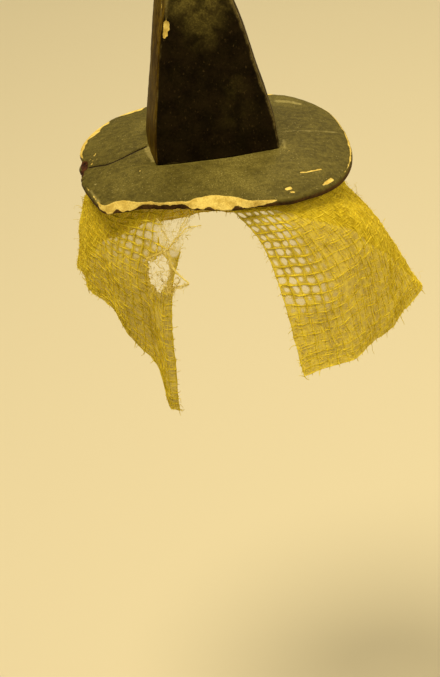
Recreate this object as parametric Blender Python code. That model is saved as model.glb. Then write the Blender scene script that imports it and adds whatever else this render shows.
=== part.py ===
"""A miniature veiled riding hat: a tall four-sided crown on a drooping, worn brim, with a coarse
gauze veil hanging under the brim, open at the front.

The origin is the middle of the head opening, in the plane of the brim's flat underside. The wearer
faces -Y, +X is to the viewer's right and +Z is up. The brim and the veil are drawn in polar
coordinates around the brim's own middle, which lies a little in front of the crown's.
"""

import bisect
import math

import bmesh
import bpy
from mathutils import Vector

MM = 0.001
SEAT_GAP = 0.3 * MM  # air between pieces that rest on each other

# Brim
BRIM_CENTRE = Vector((-0.4 * MM, -3.6 * MM, 0.0))
BRIM_THICKNESS = 1.5 * MM
BRIM_SEGMENTS = 96
FLAT_RADIUS = 20.0 * MM  # flat inside this radius, drooping outside it
DROOP_REACH = 14.5 * MM  # from the edge of the flat to the usual rim
DROOP_POWER = 1.4
RING_SHARES = (0.25, 0.5, 0.75, 1.0)  # rings between the flat and the rim

# Head opening in the brim, a squarish oval around the origin
OPENING_HALF_WIDTH = 13.0 * MM
OPENING_HALF_DEPTH = 9.5 * MM
OPENING_SQUARENESS = 5.0

# Crown
CROWN_HEIGHT = 43.0 * MM
CROWN_WALL = 1.6 * MM
TOP_CHAMFER = 0.6 * MM
FRONT_CORNER_RADIUS = 1.1 * MM
BACK_CORNER_RADIUS = 3.0 * MM
FRONT_BULGE = 1.0 * MM
SIDE_BULGE = 0.5 * MM
CORNER_STEPS = 4
SIDE_STEPS = 6

# Veil
VEIL_WALL = 1.0 * MM
VEIL_COLUMNS = 24  # gaps around
VEIL_ROWS = 5  # gaps from top to hem
STRIP_SHARE = 0.28  # width of a strip as a share of the net's pitch
GAP_STEPS = 2  # faces across the space of one gap
FOLD_DEPTH = 0.7 * MM  # soft folds, growing from nothing at the brim to this at the hem
FOLD_COUNT = 13

# Rim of the brim: angle in degrees counterclockwise from +X, radius of the top and of the underside,
# and how far the usual rim has fallen below the flat, in mm. The front edge is broken away, so the
# two radii differ where pale clay shows.
RIM_COLUMNS = ("angle", "top", "underside", "fall")
RIM_TABLE = (
    (0, 34.2, 34.2, 4.2),
    (12, 34.4, 34.4, 3.9),
    (25, 35.0, 35.0, 3.5),
    (48, 34.7, 34.7, 3.5),
    (60, 32.8, 32.8, 3.5),
    (90, 31.6, 31.6, 3.5),
    (113, 32.0, 32.0, 3.5),
    (124, 34.2, 34.2, 3.5),
    (135, 35.0, 35.0, 3.5),
    (152, 35.1, 35.1, 3.5),
    (162, 34.3, 34.3, 3.8),
    (168, 33.2, 33.2, 4.0),
    (174, 33.8, 33.8, 4.2),
    (197, 34.3, 34.3, 4.2),
    (206, 34.8, 34.9, 4.2),
    (210, 34.5, 35.2, 4.2),
    (213, 32.3, 34.7, 4.2),
    (217, 31.0, 33.2, 4.2),
    (222, 30.4, 31.5, 4.2),
    (228, 29.4, 29.9, 4.2),
    (242, 28.0, 28.4, 4.2),
    (248, 27.5, 28.1, 4.2),
    (253, 26.4, 28.3, 4.2),
    (263, 25.6, 28.9, 4.2),
    (270, 26.6, 29.3, 4.2),
    (280, 29.1, 29.8, 4.2),
    (290, 30.9, 31.1, 4.2),
    (297, 32.2, 32.4, 4.2),
    (304, 32.9, 33.1, 4.2),
    (315, 34.1, 34.5, 4.2),
    (325, 34.9, 35.3, 4.2),
    (335, 35.0, 35.3, 4.2),
    (345, 34.7, 34.9, 4.2),
    (360, 34.2, 34.2, 4.2),
)

# Outside of the crown at some heights: its faces' places in mm. The left face turns a little as it
# rises, so it has a place at each end.
CROWN_COLUMNS = ("height", "front_left", "back_left", "right", "front", "back")
CROWN_TABLE = (
    (0.0, -15.7, -15.5, 15.5, -11.9, 11.9),
    (8.0, -15.1, -14.55, 14.6, -10.9, 10.9),
    (19.0, -13.5, -13.05, 12.1, -9.4, 9.5),
    (31.0, -11.6, -11.6, 9.5, -7.7, 7.8),
    (37.5, -10.0, -10.7, 7.7, -6.8, 6.8),
    (43.0, -8.5, -9.6, 6.0, -6.0, 5.9),
)

# Veil, from its front left edge round the back to its front right edge: where the cloth starts under
# the brim and where it ends, as angles, then the radius of its top, the radius and height that it
# bows out towards, and the radius and height of its hem, in mm from the top of the brim's flat.
VEIL_COLUMNS_OF_TABLE = (
    "start_angle",
    "hem_angle",
    "top_radius",
    "bow_radius",
    "bow_height",
    "hem_radius",
    "hem_height",
)
VEIL_TABLE = (
    (253, 236, 25.3, 30.0, -22.0, 31.0, -61.0),
    (242, 231, 25.8, 30.5, -22.0, 31.0, -59.0),
    (234, 226, 26.8, 31.5, -22.0, 30.6, -50.0),
    (224, 218, 28.5, 33.0, -21.0, 31.2, -43.5),
    (212, 208, 30.5, 34.0, -19.0, 33.0, -37.5),
    (197, 197, 30.8, 34.8, -18.0, 35.0, -33.0),
    (177, 177, 30.5, 35.0, -18.0, 36.0, -33.5),
    (149, 149, 29.5, 34.0, -19.0, 37.0, -37.0),
    (119, 119, 28.0, 32.0, -20.0, 38.0, -40.0),
    (84, 84, 27.5, 31.0, -20.0, 39.0, -42.0),
    (54, 54, 27.5, 30.5, -21.0, 40.5, -43.0),
    (26, 24, 27.5, 31.0, -22.0, 43.5, -44.0),
    (4, 4, 27.0, 33.0, -23.0, 47.0, -46.0),
    (-11, -6, 26.5, 37.0, -24.5, 50.0, -46.5),
    (-28, -18, 26.5, 42.0, -20.5, 48.2, -46.5),
    (-46, -34, 27.2, 43.5, -15.5, 46.2, -46.5),
    (-68, -53, 28.0, 38.0, -14.0, 46.5, -46.5),
    (-92, -73, 26.0, 29.5, -14.0, 44.5, -46.0),
)

# Colours and finish: base colour, roughness
FINISHES = {
    "crown": ((0.016, 0.013, 0.008), 0.42),
    "brim": ((0.13, 0.11, 0.05), 0.6),
    "veil": ((0.62, 0.47, 0.12), 0.9),
}


def clear_scene():
    for obj in list(bpy.data.objects):
        bpy.data.objects.remove(obj, do_unlink=True)


def smooth_row(table, key):
    """The table's row at this key in its first column, through a smooth curve between its rows."""
    rows = sorted(table)
    keys = [row[0] for row in rows]
    key = min(max(key, keys[0]), keys[-1])
    index = min(max(bisect.bisect_right(keys, key) - 1, 0), len(rows) - 2)
    span = keys[index + 1] - keys[index]
    share = (key - keys[index]) / span

    def slope(place, column):
        before, after = max(place - 1, 0), min(place + 1, len(rows) - 1)
        return (rows[after][column] - rows[before][column]) / (keys[after] - keys[before])

    row = []
    for column in range(len(rows[0])):
        start, end = rows[index][column], rows[index + 1][column]
        leave, arrive = slope(index, column) * span, slope(index + 1, column) * span
        row.append(
            start
            + leave * share
            + (3 * (end - start) - 2 * leave - arrive) * share**2
            + (2 * (start - end) + leave + arrive) * share**3
        )
    return row


def named_row(columns, table, key):
    return dict(zip(columns, smooth_row(table, key)))


def rim_at(angle):
    """The rim's row at this angle in degrees."""
    return named_row(RIM_COLUMNS, RIM_TABLE, angle % 360)


def drop_at(radius, fall):
    """How far the brim's surface lies below its flat at this distance from the brim's middle."""
    return fall * (max(0.0, radius - FLAT_RADIUS) / DROOP_REACH) ** DROOP_POWER


def skin(bm, rings):
    """A band of faces between each ring of vertices and the next."""
    for near, far in zip(rings, rings[1:]):
        for index in range(len(near)):
            bm.faces.new((near[index - 1], near[index], far[index], far[index - 1]))


def make_object(name, bm):
    """A named object from the mesh, faces turned outwards, in its own material."""
    bmesh.ops.recalc_face_normals(bm, faces=bm.faces)
    mesh = bpy.data.meshes.new(name)
    bm.to_mesh(mesh)
    bm.free()
    obj = bpy.data.objects.new(name, mesh)
    bpy.context.collection.objects.link(obj)
    colour, roughness = FINISHES[name]
    material = bpy.data.materials.new(name)
    material.use_nodes = True
    shader = material.node_tree.nodes["Principled BSDF"]
    shader.inputs["Base Color"].default_value = (*colour, 1.0)
    shader.inputs["Roughness"].default_value = roughness
    shader.inputs["Metallic"].default_value = 0.0
    mesh.materials.append(material)
    return obj


def opening_point(angle, height):
    """A point on the edge of the head opening, seen from the origin at this angle."""
    across = abs(math.cos(angle) / OPENING_HALF_WIDTH) ** OPENING_SQUARENESS
    along = abs(math.sin(angle) / OPENING_HALF_DEPTH) ** OPENING_SQUARENESS
    radius = (across + along) ** (-1 / OPENING_SQUARENESS)
    return Vector((radius * math.cos(angle), radius * math.sin(angle), height))


def brim_rings(side, height):
    """Rings of points from the head opening out to the rim, on the top or the underside."""
    angles = [2 * math.pi * i / BRIM_SEGMENTS for i in range(BRIM_SEGMENTS)]
    rings = [[opening_point(angle, height) for angle in angles]]
    rims = [rim_at(math.degrees(angle)) for angle in angles]
    for share in (0.0,) + RING_SHARES:
        ring = []
        for angle, rim in zip(angles, rims):
            radius = FLAT_RADIUS + (rim[side] * MM - FLAT_RADIUS) * share
            flat = Vector((radius * math.cos(angle), radius * math.sin(angle), 0.0))
            drop = drop_at(radius, rim["fall"] * MM)
            ring.append(BRIM_CENTRE + flat + Vector((0.0, 0.0, height - drop)))
        rings.append(ring)
    return rings


def build_brim():
    bm = bmesh.new()
    rings = brim_rings("top", BRIM_THICKNESS) + brim_rings("underside", 0.0)[::-1]
    rings = [[bm.verts.new(point) for point in ring] for ring in rings]
    skin(bm, rings + rings[:1])
    return make_object("brim", bm)


def crown_plan(faces, inset, height):
    """The crown's outline at one height, counterclockwise, moved inwards by the inset."""
    front_left, back_left = faces["front_left"] * MM + inset, faces["back_left"] * MM + inset
    right = faces["right"] * MM - inset
    front, back = faces["front"] * MM + inset, faces["back"] * MM - inset
    front_radius = max(FRONT_CORNER_RADIUS - inset, 0.3 * MM)
    back_radius = max(BACK_CORNER_RADIUS - inset, 0.3 * MM)
    corners = (
        (front_left, front, front_radius, 180, FRONT_BULGE),
        (right, front, front_radius, 270, SIDE_BULGE),
        (right, back, back_radius, 0, SIDE_BULGE),
        (back_left, back, back_radius, 90, SIDE_BULGE),
    )
    arcs = []
    for x, y, radius, first, _ in corners:
        middle = Vector((x - math.copysign(radius, x), y - math.copysign(radius, y), height))
        arc = []
        for step in range(CORNER_STEPS + 1):
            angle = math.radians(first + 90 * step / CORNER_STEPS)
            arc.append(middle + radius * Vector((math.cos(angle), math.sin(angle), 0.0)))
        arcs.append(arc)
    outline = []
    for index, arc in enumerate(arcs):
        outline += arc
        start, end = arc[-1], arcs[(index + 1) % 4][0]
        outward = Vector((end.y - start.y, start.x - end.x, 0.0)).normalized()
        for step in range(1, SIDE_STEPS):
            share = step / SIDE_STEPS
            bulge = corners[index][4] * math.sin(math.pi * share)
            outline.append(start.lerp(end, share) + outward * bulge)
    return outline


def build_crown():
    foot = BRIM_THICKNESS + SEAT_GAP
    heights = [row[0] * MM for row in CROWN_TABLE]
    heights = heights[:-1] + [CROWN_HEIGHT - TOP_CHAMFER, CROWN_HEIGHT]
    ceiling = CROWN_HEIGHT - CROWN_WALL

    bm = bmesh.new()

    def ring(height, inset):
        faces = named_row(CROWN_COLUMNS, CROWN_TABLE, height / MM)
        return [bm.verts.new(point) for point in crown_plan(faces, inset, foot + height)]

    outside = [ring(h, 0.0 if h < CROWN_HEIGHT else TOP_CHAMFER) for h in heights]
    inside = [ring(min(h, ceiling), CROWN_WALL) for h in heights[:-1]]
    skin(bm, inside[::-1] + outside)
    bm.faces.new(outside[-1])
    bm.faces.new(inside[-1])
    return make_object("crown", bm)


def veil_point(around, down):
    """A point of the veil's middle surface. Both places run from 0 to 1."""
    start, end = VEIL_TABLE[0][0], VEIL_TABLE[-1][0]
    row = named_row(VEIL_COLUMNS_OF_TABLE, VEIL_TABLE, start + (end - start) * around)
    top_radius = row["top_radius"] * MM
    outwards = row["bow_radius"] - row["top_radius"]
    leaning = outwards / math.hypot(outwards, row["bow_height"])
    fall = rim_at(row["start_angle"])["fall"] * MM
    under_brim = BRIM_THICKNESS + SEAT_GAP + drop_at(top_radius + VEIL_WALL / 2, fall)
    under_brim += leaning * VEIL_WALL / 2
    top_share, bow_share, hem_share = (1 - down) ** 3, 3 * down * (1 - down), down**3
    radius = top_share * top_radius
    radius += (bow_share * row["bow_radius"] + hem_share * row["hem_radius"]) * MM
    height = BRIM_THICKNESS - top_share * under_brim
    height += (bow_share * row["bow_height"] + hem_share * row["hem_height"]) * MM
    radius += FOLD_DEPTH * down * math.sin(2 * math.pi * FOLD_COUNT * around)
    turned = 1 - (1 - down) ** 3
    angle = math.radians(row["start_angle"] + (row["hem_angle"] - row["start_angle"]) * turned)
    return BRIM_CENTRE + Vector((radius * math.cos(angle), radius * math.sin(angle), height))


def net_places(gaps):
    """Places from 0 to 1 of the net's lines, and for each step between them whether it is a gap."""
    strip = STRIP_SHARE / (gaps + STRIP_SHARE)
    pitch = (1 - strip) / gaps
    places, open_steps = [0.0], []
    for index in range(gaps):
        places.append(index * pitch + strip)
        open_steps.append(False)
        for step in range(1, GAP_STEPS + 1):
            places.append(index * pitch + strip + (pitch - strip) * step / GAP_STEPS)
            open_steps.append(True)
    places.append(1.0)
    open_steps.append(False)
    return places, open_steps


def build_veil():
    bm = bmesh.new()
    around, open_around = net_places(VEIL_COLUMNS)
    down, open_down = net_places(VEIL_ROWS)
    grid = [[bm.verts.new(veil_point(u, v)) for v in down] for u in around]
    for i, gap_across in enumerate(open_around):
        for j, gap_along in enumerate(open_down):
            if not (gap_across and gap_along):
                bm.faces.new((grid[i][j], grid[i][j + 1], grid[i + 1][j + 1], grid[i + 1][j]))
    bmesh.ops.delete(bm, geom=[v for v in bm.verts if not v.link_faces], context="VERTS")
    veil = make_object("veil", bm)
    wall = veil.modifiers.new("wall", "SOLIDIFY")
    wall.thickness = VEIL_WALL
    wall.offset = 0.0
    return veil


clear_scene()
build_brim()
build_crown()
build_veil()
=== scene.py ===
import bisect
import functools
import math
import random

import bmesh
import bpy
from mathutils import Matrix, Vector, noise


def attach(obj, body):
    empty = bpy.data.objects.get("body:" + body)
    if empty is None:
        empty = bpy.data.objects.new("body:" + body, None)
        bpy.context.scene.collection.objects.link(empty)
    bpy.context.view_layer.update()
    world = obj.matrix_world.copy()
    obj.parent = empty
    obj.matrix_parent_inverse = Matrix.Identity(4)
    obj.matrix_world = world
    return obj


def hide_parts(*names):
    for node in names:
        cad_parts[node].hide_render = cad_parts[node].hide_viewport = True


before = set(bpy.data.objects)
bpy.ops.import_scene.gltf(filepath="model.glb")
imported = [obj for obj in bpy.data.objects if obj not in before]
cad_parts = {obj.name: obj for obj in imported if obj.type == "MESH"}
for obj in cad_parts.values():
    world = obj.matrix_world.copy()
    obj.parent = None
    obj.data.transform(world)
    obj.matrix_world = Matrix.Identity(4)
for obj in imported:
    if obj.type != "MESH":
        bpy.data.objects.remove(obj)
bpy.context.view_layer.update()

# The looks of a miniature veiled hat: a painted clay crown and brim, worn and chipped, over a veil
# of fuzzy net. Sizes are in millimetres until mm makes them metres.
mm = 0.001
bodyName = "root"
farOutside = -3.0  # a field's value away from all its marks

view = {
    "azimuth": -6.1,
    "elevation": 28.2,
    "roll": 5.2,
    "distance": 800,
    "pixel": 0.25,  # what one pixel of the picture covers at the brim
    "picture": (440, 677),
    "brimMiddle": (212.3, 141.8),  # where the picture shows the middle of the brim's top
    "sensor": 24.0,
}

studio = {
    "floorHeight": -200,
    "floorHalf": 6000,
    "floorColour": (0.78, 0.71, 0.53, 1.0),
    "worldColour": (1.0, 0.87, 0.58, 1.0),
    "worldStrength": 0.30,
    # name: place, half size, watts, colour
    "lights": {
        "keyLight": ((-170, -150, 680), 150, 4.3, (1.0, 0.86, 0.56)),
        "fillLight": ((520, -220, 260), 260, 1.5, (1.0, 0.85, 0.54)),
        "backLight": ((200, 470, 430), 200, 1.9, (1.0, 0.87, 0.58)),
    },
}


# Small helpers

def clamp(value, low=0.0, high=1.0):
    return min(max(value, low), high)


def ease(low, high, value):
    share = clamp((value - low) / (high - low))
    return share * share * (3 - 2 * share)


def rowAt(table, key, smooth=True):
    # the row at this key of the first column, on a curve or straight lines between those given
    names, *rows = table
    rows.sort()
    keys = [row[0] for row in rows]
    key = clamp(key, keys[0], keys[-1])
    index = min(bisect.bisect_right(keys, key), len(rows) - 1) - 1
    span = keys[index + 1] - keys[index]
    share = (key - keys[index]) / span

    def slope(place, column):
        before, after = max(place - 1, 0), min(place + 1, len(rows) - 1)
        return (rows[after][column] - rows[before][column]) / (keys[after] - keys[before])

    row = {}
    for column, name in enumerate(names):
        start = rows[index][column]
        rise = rows[index + 1][column] - start
        leave = slope(index, column) * span if smooth else rise
        arrive = slope(index + 1, column) * span if smooth else rise
        row[name] = start + leave * share + (3 * rise - 2 * leave - arrive) * share**2
        row[name] += (leave - 2 * rise + arrive) * share**3
    return row


def around(angle):
    return Vector((math.cos(angle), math.sin(angle), 0.0))


def lump(point, size, seed=0.0):
    # soft noise from about -1 to 1 with lumps of this size
    return noise.noise(Vector(point) / size + Vector((seed, 1.7 * seed, 2.3 * seed)))


def readMarks(marks):
    # each mark's path and half width, and a circle round the path that tells soon what lies far off
    read = []
    for halfWidth, *path in marks:
        path = [Vector(point).to_3d() for point in path]
        middle = sum(path, Vector((0, 0, 0))) / len(path)
        read.append((path, halfWidth, middle, max((point - middle).length for point in path)))
    return read


def distanceTo(point, path):
    distances = []
    for start, end in zip(path, path[1:] or path):
        along = end - start
        share = clamp((point - start).dot(along) / (along.length_squared or 1.0))
        distances.append((point - start - along * share).length)
    return min(distances)


def markField(point, marks):
    # how far inside the nearest mark this point lies, negative outside it
    best = farOutside
    for path, halfWidth, middle, reach in marks:
        if (point - middle).length < reach + halfWidth - best:
            best = max(best, halfWidth - distanceTo(point, path))
    return best


def dustAt(point, spots, near):
    # what the spots of dust give here, each thinning out from this share of its reach
    dust = 0.0
    for middle, reach, amount in spots:
        away = (point - Vector(middle).to_3d()).length / reach
        dust += amount * (1 - ease(near, 1.0, away))
    return dust


def meshOf(name, bm):
    mesh = bpy.data.meshes.new(name)
    bm.to_mesh(mesh)
    bm.free()
    return mesh


def addObject(name, data):
    made = bpy.data.objects.new(name, data)
    bpy.context.collection.objects.link(made)
    return made


def newPiece(name, made, material):
    # a piece from a mesh or a bmesh
    mesh = meshOf(name, made) if isinstance(made, bmesh.types.BMesh) else made
    piece = addObject(name, mesh)
    mesh.materials.clear()
    mesh.materials.append(material)
    mesh.shade_smooth()
    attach(piece, bodyName)
    return piece


def spunShape(count, steps, closed, fieldNames, place):
    # rings of vertices spun about Z, each vertex then put at its place on the piece with its fields
    firstRing = 10.0
    bm = bmesh.new()
    profile = [bm.verts.new((firstRing + ring, 0.0, 0.0)) for ring in range(count)]
    following = profile[1:] + profile[:1] if closed else profile[1:]
    edges = [bm.edges.new(pair) for pair in zip(profile, following)]
    bmesh.ops.spin(
        bm, geom=profile + edges, axis=(0, 0, 1), angle=2 * math.pi, steps=steps, use_merge=True
    )
    layers = [bm.verts.layers.float.new(name) for name in fieldNames]
    for vert in bm.verts:
        ring = round(vert.co.xy.length - firstRing)
        step = round(math.atan2(vert.co.y, vert.co.x) / (2 * math.pi) * steps) % steps
        point, values = place(ring, step)
        vert.co = point * mm
        for layer, value in zip(layers, values):
            vert[layer] = value
    bmesh.ops.remove_doubles(bm, verts=bm.verts, dist=0.01 * mm)
    bmesh.ops.recalc_face_normals(bm, faces=bm.faces)
    bm.normal_update()
    return bm, layers


# Shader nodes

def addNode(tree, kind, inputs=None, **settings):
    made = tree.nodes.new("ShaderNode" + kind)
    for name, value in settings.items():
        setattr(made, name, value)
    for name, value in (inputs or {}).items():
        if isinstance(value, bpy.types.NodeSocket):
            tree.links.new(value, made.inputs[name])
        else:
            made.inputs[name].default_value = value
    return made


def maths(tree, operation, *values):
    return addNode(tree, "Math", dict(enumerate(values)), operation=operation).outputs[0]


def vectors(tree, operation, *values):
    return addNode(tree, "VectorMath", dict(enumerate(values)), operation=operation).outputs[0]


def mixColour(tree, share, under, over):
    inputs = {0: share, 6: under, 7: (*over, 1.0) if isinstance(over, tuple) else over}
    return addNode(tree, "Mix", inputs, data_type="RGBA").outputs[2]


def mixValue(tree, share, under, over):
    return addNode(tree, "Mix", {0: share, 2: under, 3: over}, data_type="FLOAT").outputs[0]


def softStep(tree, value, low, high, fromValue=0.0, toValue=1.0):
    inputs = {
        "Value": value, "From Min": low, "From Max": high, "To Min": fromValue, "To Max": toValue,
    }
    return addNode(tree, "MapRange", inputs, interpolation_type="SMOOTHSTEP").outputs["Result"]


def millimetres(tree):
    # the piece's own coordinates in mm
    spot = addNode(tree, "TexCoord").outputs["Object"]
    return addNode(tree, "VectorMath", {0: spot, "Scale": 1 / mm}, operation="SCALE").outputs[0]


def noiseAt(tree, spot, scale, detail=3.0, roughness=0.55):
    inputs = {"Vector": spot, "Scale": scale, "Detail": detail, "Roughness": roughness}
    return addNode(tree, "TexNoise", inputs).outputs["Fac"]


def grain(tree, size, finer=1.0, detail=3.0, roughness=0.55):
    # noise over the piece with lumps this many mm wide, or finer by a factor
    return noiseAt(tree, millimetres(tree), maths(tree, "DIVIDE", finer, size), detail, roughness)


def fieldOf(tree, name):
    return addNode(tree, "Attribute", attribute_name=name).outputs["Fac"]


def startGroup(name, result, **inputs):
    # a group with one output, its inputs of the kind that their usual values have
    tree = bpy.data.node_groups.new(name, "ShaderNodeTree")

    def addSocket(label, way, kind):
        return tree.interface.new_socket(name=label, in_out=way, socket_type="NodeSocket" + kind)

    for label, value in inputs.items():
        kind = "Float" if isinstance(value, float) else "Color" if len(value) == 4 else "Vector"
        addSocket(label, "INPUT", kind).default_value = value
    addSocket(result, "OUTPUT", "Color" if result == "Colour" else "Float")
    given = tree.nodes.new("NodeGroupInput").outputs
    return tree, given, tree.nodes.new("NodeGroupOutput").inputs[0]


def placeGroup(tree, name, **inputs):
    return addNode(tree, "Group", inputs, node_tree=bpy.data.node_groups[name]).outputs[0]


def patch(tree, name, field, **inputs):
    # a group's mask where one of the piece's fields puts it
    return placeGroup(tree, name, Field=fieldOf(tree, field), **inputs)


def mottled(tree, low, high, size):
    return placeGroup(tree, "mottle", Low=(*low, 1.0), High=(*high, 1.0), Size=size)


def bareClay(tree):
    return mottled(tree, (0.60, 0.42, 0.085), (0.93, 0.73, 0.21), 2.2)


def coated(tree, colour, *coats):
    # each coat, a mask and a colour, lies over those before it
    for mask, over in coats:
        colour = mixColour(tree, mask, colour, over)
    return colour


def buildGroups():
    # a patch with a ragged edge, from a field in mm that is positive inside it
    tree, given, mask = startGroup("raggedPatch", "Mask", Field=0.0, Raggedness=0.3, Size=1.0)
    rough = maths(tree, "MULTIPLY_ADD", grain(tree, given["Size"], 1.0, 4.0, 0.65), 2.0, -1.0)
    edge = maths(tree, "MULTIPLY_ADD", rough, given["Raggedness"], given["Field"])
    tree.links.new(softStep(tree, edge, -0.05, 0.07), mask)

    # paint rubbed thin and pale, soft at its edge and broken up by its grain
    tree, given, mask = startGroup("rubbedPatch", "Mask", Field=0.0, Strength=0.7, Size=0.8)
    fine = grain(tree, given["Size"], 1.0, 4.0, 0.7)
    wander = maths(tree, "MULTIPLY_ADD", grain(tree, given["Size"], 0.2, 2.0), 1.2, -0.6)
    soft = softStep(tree, maths(tree, "ADD", given["Field"], wander), -0.35, 0.45)
    rubbed = maths(tree, "MULTIPLY", soft, softStep(tree, fine, 0.38, 0.62, 0.4, 1.0))
    tree.links.new(maths(tree, "MULTIPLY", rubbed, given["Strength"]), mask)

    # two colours in clouds and finer blotches
    tree, given, colour = startGroup(
        "mottle", "Colour", Low=(0.0, 0.0, 0.0, 1.0), High=(1.0, 1.0, 1.0, 1.0), Size=4.0
    )
    clouds = grain(tree, given["Size"], 1.0, 2.0, 0.5)
    blotches = grain(tree, given["Size"], 6.0, 4.0, 0.6)
    both = softStep(tree, mixValue(tree, 0.45, clouds, blotches), 0.36, 0.64)
    tree.links.new(mixColour(tree, both, given["Low"], given["High"]), colour)

    # dust that lies in a thin speckled film, as thick as its field says
    tree, given, mask = startGroup(
        "dustFilm", "Mask", Field=0.5, Size=5.0, Speckle=0.35, Evenness=0.3
    )
    clouds = softStep(tree, grain(tree, given["Size"], 1.0, 3.0, 0.6), 0.35, 0.62, 0.25, 1.0)
    specks = grain(tree, given["Speckle"], 1.0, 2.0, 0.6)
    specks = softStep(tree, specks, 0.44, 0.66, given["Evenness"], 1.0)
    film = maths(tree, "MULTIPLY", clouds, specks)
    film = addNode(tree, "Math", {0: film, 1: given["Field"]}, operation="MULTIPLY", use_clamp=True)
    tree.links.new(film.outputs[0], mask)

    # strokes of a brush or of wear, stretched along the axis with the small number
    tree, given, mask = startGroup("streaks", "Mask", Stretch=(0.05, 0.7, 0.7), Sparseness=0.5)
    stretched = vectors(tree, "MULTIPLY", millimetres(tree), given["Stretch"])
    stroke = noiseAt(tree, stretched, 1.0, 3.0, 0.6)
    upper = maths(tree, "ADD", given["Sparseness"], 0.16)
    tree.links.new(softStep(tree, stroke, given["Sparseness"], upper), mask)

    # the fine relief of paint on clay
    tree, given, height = startGroup("grit", "Height", Size=0.8, Pits=0.4)
    swells = grain(tree, given["Size"], 1.0, 4.0, 0.6)
    pitted = softStep(tree, grain(tree, given["Size"], 5.0, 2.0, 0.5), 0.30, 0.42)
    tree.links.new(mixValue(tree, given["Pits"], swells, pitted), height)


def startMaterial(name, settings):
    material = bpy.data.materials.new(name)
    material.use_nodes = True
    tree = material.node_tree
    shader = tree.nodes["Principled BSDF"]
    for label, value in settings.items():
        shader.inputs[label].default_value = value
    return material, tree, shader


def sunkenGrit(tree, bare, size, pits):
    # the paint's relief, lower where the clay is bare
    return maths(tree, "MULTIPLY_ADD", bare, -0.8, placeGroup(tree, "grit", Size=size, Pits=pits))


def joinShader(tree, shader, colour, roughness, height, bumpDepth):
    tree.links.new(colour, shader.inputs["Base Color"])
    tree.links.new(roughness, shader.inputs["Roughness"])
    bump = addNode(tree, "Bump", {"Height": height, "Distance": bumpDepth * mm, "Strength": 0.8})
    tree.links.new(bump.outputs["Normal"], shader.inputs["Normal"])


# Brim: olive-grey paint on clay, drooping, with a broken front edge

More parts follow.
